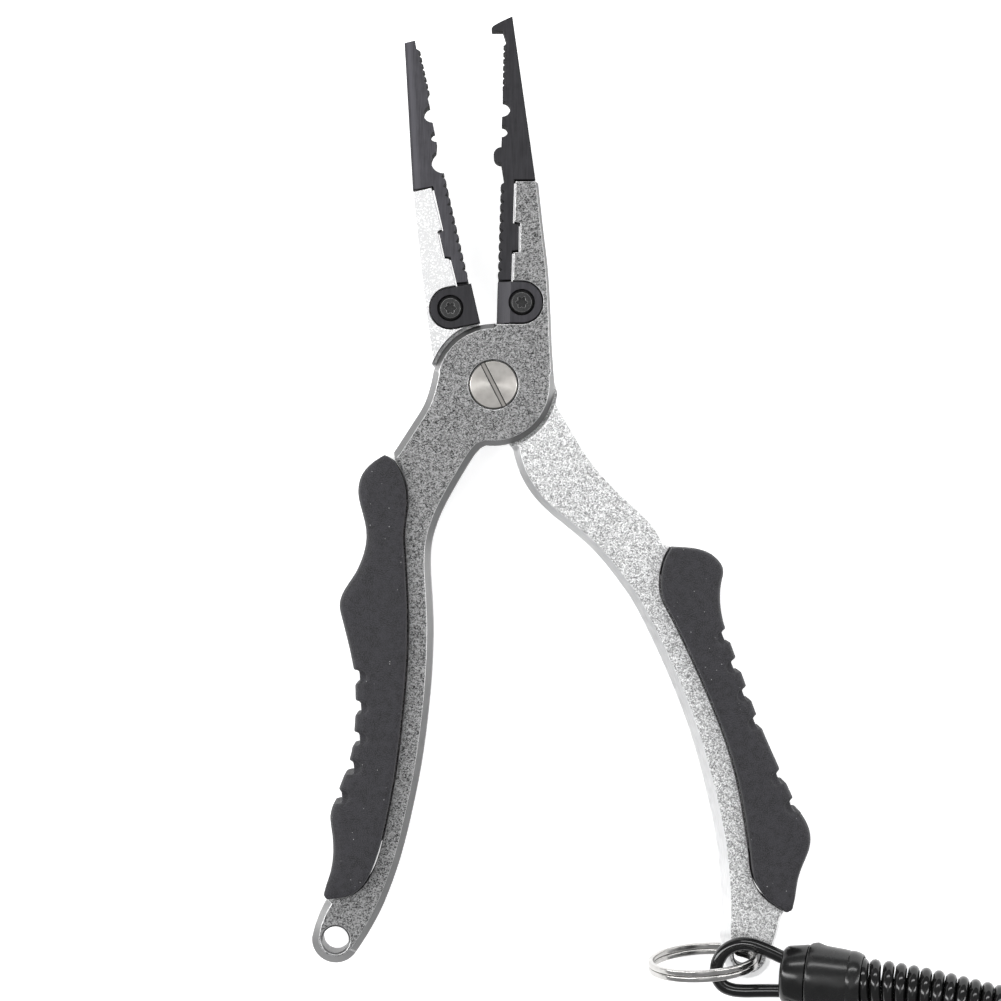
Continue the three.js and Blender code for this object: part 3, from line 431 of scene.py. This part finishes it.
def turned_steel(name):
    """Stainless head faced on a lathe: rings too fine to see spread the light into wedges."""
    m = Finish(name, Metallic=1.0, Anisotropic=0.6)
    apart = m.add("ShaderNodeSeparateXYZ", {"Vector": m.coords})
    x, y, z = (apart.outputs[axis] for axis in "XYZ")
    outward = m.add("ShaderNodeCombineXYZ", {0: x, 1: y, 2: 0.0})
    radial = m.add("ShaderNodeVectorMath", {0: outward.outputs[0]}, operation="NORMALIZE")
    m.set("Tangent", radial.outputs[0])
    radius = m.add("ShaderNodeVectorMath", {0: outward.outputs[0]}, operation="LENGTH")
    rings = m.add("ShaderNodeTexNoise", {"W": radius.outputs["Value"], "Scale": 1 / (0.16 * MM)},
                  noise_dimensions="1D").outputs["Fac"]
    stain = m.noise(2.4, 3.0, 0.6)
    normal, on_edge = m.soft_edge(0.14)
    stained = grey(0.36, (1, 0.955, 0.9))
    clean = grey(0.47, (1, 0.965, 0.915))
    colour = m.mix(m.ramp(stain, 0.3, 0.7), stained, clean)
    colour = m.mix(on_edge, colour, grey(0.85, (1, 0.98, 0.95)))
    from_middle = m.math("ABSOLUTE", m.math("SUBTRACT", z, PIVOT_MIDDLE * MM))
    outer = m.ramp(from_middle, *SLOT_DEPTHS)
    lean = math.radians(SLOT_LEAN)
    aside = m.math(
        "ADD", m.math("MULTIPLY", x, math.cos(lean)), m.math("MULTIPLY", y, math.sin(lean)))
    # painted shade: the slot's floor turns near black towards its walls
    slot_wall_shade = m.ramp(m.math("ABSOLUTE", aside), 0.25 * MM, 0.5 * MM)
    shaded_slot = m.mix(slot_wall_shade, grey(0.34, (1, 0.955, 0.9)), grey(0.03))
    m.set("Base Color", m.mix(outer, shaded_slot, colour))
    m.set("Roughness", m.ramp(rings, 0.3, 0.7, 0.3, 0.42))
    m.bump(rings, 0.006, normal)
    return m.material


def plain_metal(name, colour, rough, scratch=0.5):
    """Drawn or plated wire and stampings, with faint handling marks."""
    m = Finish(name, Metallic=1.0)
    marks = m.noise(0.5, 4.0, 0.65)
    cloud = m.noise(3.0, 2.0)
    darker = tuple(0.78 * c for c in colour[:3])
    m.set("Base Color", m.mix(m.ramp(cloud, 0.3, 0.7), (*darker, 1.0), colour))
    m.set("Roughness", m.ramp(marks, 0.3, 0.7, rough * 0.8, rough * 1.35))
    m.bump(marks, 0.006, strength=scratch)
    return m.material


def moulded_black(name, tone, rough, waviness, size=2.4):
    """Glossy moulded plastic or paint; a slow waviness breaks its reflections up."""
    m = Finish(name, Metallic=0.0, Specular_IOR_Level=0.42)
    waves = m.noise(size, 2.0, 0.5)
    fine = m.noise(0.3, 2.0, 0.6)
    smudge = m.noise(3.5, 3.0, 0.6)
    m.set("Base Color", m.mix(m.ramp(smudge, 0.3, 0.7), grey(tone * 0.8), grey(tone * 1.25)))
    m.set("Roughness", m.ramp(smudge, 0.3, 0.7, rough * 0.75, rough * 1.3))
    height = m.math("ADD", m.math("MULTIPLY", waves, waviness), m.math("MULTIPLY", fine, 0.03))
    m.bump(height, 0.05)
    return m.material


FRONT_ALUMINIUM = aluminium("front_aluminium", 0.045, 0.42, 0.23, 0.9)
REAR_ALUMINIUM = aluminium("rear_aluminium", 0.22, 0.95, 0.93, 1.0, 0.6, (57.35, -128.9))
FRONT_STEEL = black_steel("front_black_steel", 0, 0.026)
FRONT_BLADE = black_steel("front_blade_steel", 0, 0.04)
REAR_STEEL = black_steel("rear_black_steel", 13, 0.055, (-18.2, 43.95, -0.0583))
REAR_BLADE = black_steel("rear_blade_steel", 13, 0.024)
SCREW_BLACK = screw_black()
RUBBER = rubber()
PIVOT_STEEL = turned_steel("pivot_steel_turned")
SPRING_STEEL = plain_metal("spring_wire", (0.45, 0.43, 0.40, 1), 0.28)
BRONZE = plain_metal("washer_bronze", (0.55, 0.36, 0.16, 1), 0.35)
NICKEL = plain_metal("ring_nickel", (0.56, 0.55, 0.535, 1), 0.17, 0.2)
BAIL_BLACK = moulded_black("bail_black", 0.004, 0.11, 0.03)
PLUG_BLACK = moulded_black("plug_black", 0.005, 0.2, 0.08)
SLEEVE_BLACK = moulded_black("sleeve_black_boot", 0.007, 0.24, 0.5, 4.5)
CORD_BLACK = moulded_black("cord_black_skin", 0.005, 0.12, 0.02)


# ---------------------------------------------------------------- CAD nodes that stay

def smooth_by_angle(degrees):
    """Geometry nodes that shade a mesh smooth except along edges sharper than the angle."""
    tree = bpy.data.node_groups.new("smooth_by_angle", "GeometryNodeTree")
    for direction in ("INPUT", "OUTPUT"):
        tree.interface.new_socket("Geometry", in_out=direction, socket_type="NodeSocketGeometry")
    entry = tree.nodes.new("NodeGroupInput")
    angle = tree.nodes.new("GeometryNodeInputMeshEdgeAngle")
    below = tree.nodes.new("FunctionNodeCompare")
    below.operation = "LESS_THAN"
    below.inputs["B"].default_value = math.radians(degrees)
    faces = tree.nodes.new("GeometryNodeSetShadeSmooth")
    edges = tree.nodes.new("GeometryNodeSetShadeSmooth")
    edges.domain = "EDGE"
    leave = tree.nodes.new("NodeGroupOutput")
    tree.links.new(entry.outputs[0], faces.inputs["Geometry"])
    tree.links.new(faces.outputs["Geometry"], edges.inputs["Geometry"])
    tree.links.new(angle.outputs["Unsigned Angle"], below.inputs["A"])
    tree.links.new(below.outputs["Result"], edges.inputs["Shade Smooth"])
    tree.links.new(edges.outputs["Geometry"], leave.inputs[0])
    return tree


SMOOTH = smooth_by_angle(28)
KEPT = {
    "front_handle": FRONT_ALUMINIUM,
    "rear_handle": REAR_ALUMINIUM,
    "front_jaw": FRONT_STEEL,
    "front_cutter": FRONT_BLADE,
    "rear_jaw": REAR_STEEL,
    "rear_cutter": REAR_BLADE,
    "front_cutter_screw": SCREW_BLACK,
    "rear_cutter_screw": SCREW_BLACK,
    "pivot_screw": PIVOT_STEEL,
    "pivot_nut": PIVOT_STEEL,
    "thrust_washer": BRONZE,
    "return_spring": SPRING_STEEL,
}


def dress(node, material):
    mesh = node.data
    if "custom_normal" in mesh.attributes:
        mesh.attributes.remove(mesh.attributes["custom_normal"])
    mesh.materials.clear()
    mesh.materials.append(material)
    weld = node.modifiers.new("weld", "WELD")
    weld.merge_threshold = 1e-6
    smooth = node.modifiers.new("smooth", "NODES")
    smooth.node_group = SMOOTH


for name, material in KEPT.items():
    dress(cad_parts[name], material)


# ---------------------------------------------------------------- rubber grips

GRIP_VOXEL = 0.34
LIP_OFFSET = 1.1
LIP_WIDTH = 0.3
LIP_DEPTH = 0.13
GRIP_TOP = 15.6
FACE_BAND = 1

# Seams between aluminium and rubber, in millimetres, from the jaw end to the tail.
FRONT_SEAM = [
    (-22.3, -16.9), (-20.8, -19.5), (-19.6, -23.2), (-19.4, -27.5), (-20.1, -33.7), (-19.8, -40),
    (-19.3, -50), (-19.4, -62), (-20.6, -76), (-22.4, -90), (-25.7, -105.5), (-28.7, -112.4),
    (-32.4, -115.4), (-37.5, -116.25),
]
REAR_SEAM = [
    (40.0, -36.6), (38.5, -39.3), (37.6, -43.5), (38.0, -48.2), (41.4, -54.9), (47.4, -67.9),
    (52.6, -81), (55.6, -92.4), (57.5, -104.3), (58.4, -111), (60.9, -115.6), (65.7, -119.2),
]


def grip(node, seam):
    """The grip's CAD solid with every edge softened and a fine lip line beside the seam."""
    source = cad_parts[node]
    name = node + "_rubber"
    work = bmesh.new()
    work.from_mesh(source.data)
    bmesh.ops.remove_doubles(work, verts=work.verts, dist=1e-6)
    mesh = bpy.data.meshes.new(name)
    work.to_mesh(mesh)
    work.free()
    obj = finished(name, mesh)
    applied(
        obj,
        ("REMESH", {"mode": "VOXEL", "voxel_size": GRIP_VOXEL * MM, "use_smooth_shade": True}),
        ("SMOOTH", {"factor": 0.5, "iterations": 4}),
    )
    mesh = obj.data
    co = np.empty(len(mesh.vertices) * 3)
    mesh.vertices.foreach_get("co", co)
    co = co.reshape(-1, 3) / MM
    line = np.array([(p.x, p.y) for p in smooth_line([(x, y, 0) for x, y in seam], 12)])
    away = np.full(len(co), 1e9)
    for x, y in line:
        away = np.minimum(away, np.hypot(co[:, 0] - x, co[:, 1] - y))
    dip = LIP_DEPTH * np.exp(-((away - LIP_OFFSET) / LIP_WIDTH) ** 2 * 2)
    top = co[:, 2] > GRIP_TOP - FACE_BAND
    bottom = co[:, 2] < FACE_BAND
    co[top, 2] -= dip[top]
    co[bottom, 2] += dip[bottom]
    mesh.vertices.foreach_set("co", (co * MM).ravel())
    mesh.update()
    mesh.materials.clear()
    mesh.materials.append(RUBBER)
    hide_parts(node)
    return obj


front_grip = grip("front_grip", FRONT_SEAM)
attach(front_grip, "front")
rear_grip = grip("rear_grip", REAR_SEAM)
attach(rear_grip, "rear")


# ---------------------------------------------------------------- split ring

RING_RADIUS = 12.4
RING_WIRE_RADIAL = 1.2
RING_WIRE_AXIAL = 1.3
RING_PITCH = 1.38
RING_CORNER = 0.32
RING_TURNS = 1.96
RING_START = 319
RING_CENTRE = (47.3, -130.35, RING_RADIUS + 0.05)
RING_YAW = 4.3
RING_LEAN = 5
RING_STEPS = 360


def ring_section():
    """The wire's section: flat sides with rounded corners, as (out, along the ring's axis)."""
    half_r = RING_WIRE_RADIAL / 2
    half_a = RING_WIRE_AXIAL / 2
    points = []
    for quarter in range(4):
        middle_r = (half_r - RING_CORNER) * (1, -1, -1, 1)[quarter]
        middle_a = (half_a - RING_CORNER) * (1, 1, -1, -1)[quarter]
        for step in range(5):
            angle = math.radians(90 * quarter + 22.5 * step)
            points.append((
                middle_r + RING_CORNER * math.cos(angle), middle_a + RING_CORNER * math.sin(angle)))
    return points


def split_ring():
    placing = (
        Matrix.Translation(RING_CENTRE) @ Matrix.Rotation(math.radians(RING_YAW), 4, "Z")
        @ Matrix.Rotation(math.radians(RING_LEAN), 4, "X")
    )
    section = ring_section()
    middle = RING_RADIUS - RING_WIRE_RADIAL / 2
    crossing = math.pi * (2 - RING_TURNS)
    rings = []
    for step in range(RING_STEPS + 1):
        turned_by = 2 * math.pi * RING_TURNS * step / RING_STEPS
        angle = math.radians(RING_START) + turned_by
        from_middle = max(-1.0, min(1.0, (turned_by - math.pi * RING_TURNS) / crossing))
        layer = math.sin(math.pi / 2 * from_middle)
        end = min(step, RING_STEPS - step)
        shrink = (0.75, 0.93, 1.0)[min(end, 2)]
        rings.append([
            placing @ Vector((
                (middle + r * shrink) * math.cos(angle),
                a * shrink - layer * RING_PITCH / 2,
                (middle + r * shrink) * math.sin(angle),
            ))
            for r, a in section
        ])
    obj = swept("split_ring_wire", rings)
    obj.data.materials.append(NICKEL)
    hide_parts("split_ring")
    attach(obj, "ring")
    return obj


split_ring()


# ---------------------------------------------------------------- lanyard ends

BAIL_RADIUS = 1.5
BAIL_FOOT = 3.75
BAIL_DEPTH = 3
PLUG_LENGTH = 5.8
PLUG_RADIUS = 6.6
PLUG_RIM_RADIUS = 7.2
PLUG_ROUNDING = 1.75
SLEEVE_RADIUS = 7.6
MOUTH_RADIUS = 6.9
SLEEVE_LENGTH = 11.9
GAP = 0.3
SEAM = 0.08
SOCKET_RADIUS = BAIL_RADIUS + GAP
BORE_RADIUS = 5.85
BORE_DEPTH = 5
CORD_START = PLUG_LENGTH + SLEEVE_LENGTH + 2 * GAP
# The boot's outer surface, further out than SHAPED_OUTSIDE, has two moulding seams and a nib
# and is slightly out of round. Places and spreads round it are in degrees, the rest in
# millimetres.
SHAPED_OUTSIDE = 6.3
SEAMS_AT = (128, 308)
SEAM_SPREAD = 2.4
SEAM_HEIGHT = 0.07
NIB_AT = -7
NIB_SPREAD = 10
NIB_ALONG = 1.5
NIB_LENGTH = 0.8
NIB_HEIGHT = 0.5
OUT_OF_ROUND = 0.05
DRAWN_IN = 0.02
BAIL_LOOP = [
    (-BAIL_DEPTH, BAIL_FOOT), (0, BAIL_FOOT), (2, 4.4), (5.2, 5.4), (7.5, 5.9), (9.5, 5.85),
    (11.7, 5.05), (13.5, 3.6), (14.75, 1.2), (14.95, -0.9), (14.4, -2.75), (13.1, -4.1),
    (11, -4.7), (8.7, -4.7), (4.8, -4.25), (0, -BAIL_FOOT), (-BAIL_DEPTH, -BAIL_FOOT),
]


class LanyardEnd:
    """A bail, the plug that grips it and the sleeve over the cord's end, in their own frame."""

    def __init__(self, prefix, face, sleeve_end):
        self.prefix = prefix
        self.origin = Vector(face)
        self.axis = (Vector(sleeve_end) - self.origin).normalized()
        self.across = Vector((0, 0, 1)).cross(self.axis).normalized()
        self.up = self.axis.cross(self.across)

    def place(self, along, side=0, up=0):
        return self.origin + self.axis * along + self.across * side + self.up * up

    def keep(self, obj, node, material):
        obj.data.materials.clear()
        obj.data.materials.append(material)
        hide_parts(node)
        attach(obj, "lanyard")
        return obj

    def bail(self):
        line = smooth_line([self.place(-out, side) for out, side in BAIL_LOOP], 8)
        obj = bar(self.prefix + "_bail_rod", line, BAIL_RADIUS, 28, self.up)
        return self.keep(obj, self.prefix + "_bail", BAIL_BLACK)

    def plug(self):
        """A cap with a rounded face and two sockets for the bail's feet."""
        rounding = PLUG_ROUNDING
        r = PLUG_RADIUS
        rim = PLUG_RIM_RADIUS
        profile = [(0, 0.02), (0, r - rounding - 0.3)]
        profile += [
            (rounding * (1 - math.sin(a)), r - rounding * (1 - math.cos(a)))
            for a in (math.radians(90 - 15 * k) for k in range(7))
        ]
        profile += [
            (PLUG_LENGTH - 0.35, rim), (PLUG_LENGTH - 0.12, rim - 0.1), (PLUG_LENGTH, rim - 0.35),
            (PLUG_LENGTH, 0.02),
        ]
        body = turned(self.prefix + "_plug_body", profile, self.origin, self.axis, self.across)
        tools = []
        for side in (BAIL_FOOT, -BAIL_FOOT):
            line = [self.place(a, side) for a in (-1, 1, BAIL_DEPTH + GAP)]
            tools.append(bar("socket", line, SOCKET_RADIUS, 32, self.up, 0))
        cut(body, *tools)
        remade = finished(self.prefix + "_plug_cap", body.data.copy())
        bpy.data.objects.remove(body)
        return self.keep(remade, self.prefix + "_plug", PLUG_BLACK)

    def sleeve(self):
        """A rubber boot: a moulding seam along it, a nib at its plug end, a rolled mouth."""
        start = PLUG_LENGTH + SEAM
        big = SLEEVE_RADIUS
        small = MOUTH_RADIUS
        length = SLEEVE_LENGTH + GAP - SEAM
        outside = [
            (0, 0.02), (0, big - 0.6), (0.08, big - 0.32), (0.3, big - 0.14), (0.7, big - 0.08),
            (1.8, big - 0.12), (3.6, big - 0.24), (5.6, big - 0.38), (7.4, big - 0.52),
            (8.8, small), (9.15, small - 0.12), (9.4, small), (10.1, small - 0.02),
            (10.8, small - 0.14), (11.4, small - 0.36), (length - 0.12, small - 0.68),
            (length, small - 0.9), (length - 0.15, BORE_RADIUS), (length - BORE_DEPTH, BORE_RADIUS),
            (length - BORE_DEPTH, 0.02),
        ]
        sides = 144
        rings = []
        for along, radius in outside:
            ring = []
            for k in range(sides):
                angle = 2 * math.pi * k / sides
                swell = 0.0
                if radius > SHAPED_OUTSIDE:
                    seam = sum(
                        math.exp(-((angle - math.radians(at)) / math.radians(SEAM_SPREAD)) ** 2)
                        for at in SEAMS_AT)
                    aside = math.remainder(angle - math.radians(NIB_AT), 2 * math.pi)
                    nib = math.exp(-(aside / math.radians(NIB_SPREAD)) ** 2)
                    nib *= math.exp(-((along - NIB_ALONG) / NIB_LENGTH) ** 2)
                    pinch = OUT_OF_ROUND * math.sin(2 * angle + 0.6)
                    pinch *= math.sin(along / 12 * math.pi)
                    swell = SEAM_HEIGHT * seam + NIB_HEIGHT * nib + pinch - DRAWN_IN
                r = radius + swell
                ring.append(self.place(
                    start + along, r * math.cos(angle), r * math.sin(angle)))
            rings.append(ring)
        obj = swept(self.prefix + "_sleeve_boot", rings, 40)
        return self.keep(obj, self.prefix + "_sleeve", SLEEVE_BLACK)


near = LanyardEnd("near", (64.7, -132.3, 17.0), (82.3, -133.4, 21.9))
far = LanyardEnd("far", (62, -187.8, 7.7), (82, -187.8, 7.7))
ends = [piece for end in (near, far) for piece in (end.bail(), end.plug(), end.sleeve())]


# ---------------------------------------------------------------- coiled cord

CORD_DIAMETER = 2.6
HELIX_RADIUS = 4.3
HELIX_PITCH = 2.63
HELIX_INSIDE = 3
TURN_POINTS = 20
CORD_LEAD = 4
CENTRE_POINTS = 2400
BEND_WINDOW = 24
CORD_ROUTE = [
    (95.5, -134.9, 25.6), (108.5, -137.5, 29.2), (118, -139.6, 31.1), (127, -143.6, 31),
    (134.3, -150.2, 27.1), (138.2, -158.8, 19.8), (137.8, -168.5, 11.6), (133.5, -177.2, 6.4),
    (125.5, -183.9, 5.8), (114, -187.5, 5.9), (101, -187.8, 6.5), (92, -187.8, 7.2),
]


def helix():
    """The cord wound round the coil's centre line; turns touch on the inside of its bends."""
    route = [
        near.place(CORD_START - HELIX_INSIDE), near.place(CORD_START),
        near.place(CORD_START + CORD_LEAD),
        *(Vector(p) for p in CORD_ROUTE),
        far.place(CORD_START + CORD_LEAD), far.place(CORD_START),
        far.place(CORD_START - HELIX_INSIDE),
    ]
    centre, length = evenly(smooth_line(route, 40), CENTRE_POINTS)
    frames = carried_frames(centre, near.across)
    step = length / (len(centre) - 1)
    window = BEND_WINDOW
    turn = 0.0
    angles = []
    for i in range(len(centre)):
        a = frames[max(0, i - window)][0]
        b = frames[min(len(centre) - 1, i + window)][0]
        bend = a.angle(b, 0.0) / (2 * window * step)
        angles.append(turn)
        turn += 2 * math.pi * step * (1 - HELIX_RADIUS * bend) / HELIX_PITCH
    count = int(turn / (2 * math.pi) * TURN_POINTS)
    points = []
    for k in range(count + 1):
        wanted = turn * k / count * (1 - 1e-9)
        at = np.interp(wanted, angles, range(len(angles)))
        i = min(int(at), len(centre) - 2)
        part = at - i
        middle = centre[i].lerp(centre[i + 1], part)
        side = frames[i][1].lerp(frames[i + 1][1], part).normalized()
        up = frames[i][2].lerp(frames[i + 1][2], part).normalized()
        points.append(middle + (side * math.cos(wanted) + up * math.sin(wanted)) * HELIX_RADIUS)
    return points


def cord_curve(name, points):
    data = bpy.data.curves.new(name, "CURVE")
    data.dimensions = "3D"
    data.bevel_depth = CORD_DIAMETER / 2 * MM
    data.bevel_resolution = 4
    data.use_fill_caps = True
    spline = data.splines.new("POLY")
    spline.points.add(len(points) - 1)
    for target, point in zip(spline.points, points):
        target.co = (*(point * MM), 1)
    spline.use_smooth = True
    obj = bpy.data.objects.new(name, data)
    bpy.context.scene.collection.objects.link(obj)
    return obj


coil_points = helix()
coil = cord_curve("lanyard_coil_cord", coil_points)
coil.data.materials.append(CORD_BLACK)
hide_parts("lanyard_coil")
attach(coil, "lanyard")


# ---------------------------------------------------------------- floor and light

FLOOR_HALF = 3
FLOOR_LEVEL = -0.0001
LIGHTS_AIM = (0.02, -0.05, 0)


def floor():
    mesh = bpy.data.meshes.new("floor")
    half = FLOOR_HALF
    low = FLOOR_LEVEL
    mesh.from_pydata(
        [(-half, -half, low), (half, -half, low), (half, half, low), (-half, half, low)], [],
        [(0, 1, 2, 3)])
    obj = bpy.data.objects.new("floor", mesh)
    bpy.context.scene.collection.objects.link(obj)
    m = Finish("floor_white", Roughness=0.9, Specular_IOR_Level=0.2, Emission_Strength=0.5)
    m.shader.inputs["Emission Color"].default_value = (1, 1, 1, 1)
    m.set("Base Color", m.mix(m.ramp(m.noise(40, 2.0), 0.3, 0.7), grey(0.93), grey(0.95)))
    mesh.materials.append(m.material)


def softbox(name, at, size, radiance):
    """Rectangular light aimed at the middle of the pliers; its power follows from radiance."""
    data = bpy.data.lights.new(name, "AREA")
    data.shape = "RECTANGLE"
    data.size, data.size_y = size
    data.energy = radiance * math.pi * size[0] * size[1]
    obj = bpy.data.objects.new(name, data)
    obj.location = at
    aim = Vector(LIGHTS_AIM) - Vector(at)
    obj.rotation_mode = "QUATERNION"
    obj.rotation_quaternion = aim.to_track_quat("-Z", "Y")
    bpy.context.scene.collection.objects.link(obj)


world = bpy.data.worlds.new("studio")
world.use_nodes = True
background = world.node_tree.nodes["Background"]
background.inputs["Color"].default_value = (0.97, 0.98, 1.0, 1.0)
background.inputs["Strength"].default_value = 0.4
bpy.context.scene.world = world

floor()
softbox("overhead", (0.0, 0.0, 1.4), (0.9, 0.9), 0.75)
softbox("left_strip", (-0.85, 0.1, 0.7), (0.2, 1.4), 11)
softbox("right_strip", (0.9, 0.0, 0.6), (0.16, 1.3), 8)
softbox("back_strip", (0.1, 0.9, 0.7), (1.3, 0.16), 9)
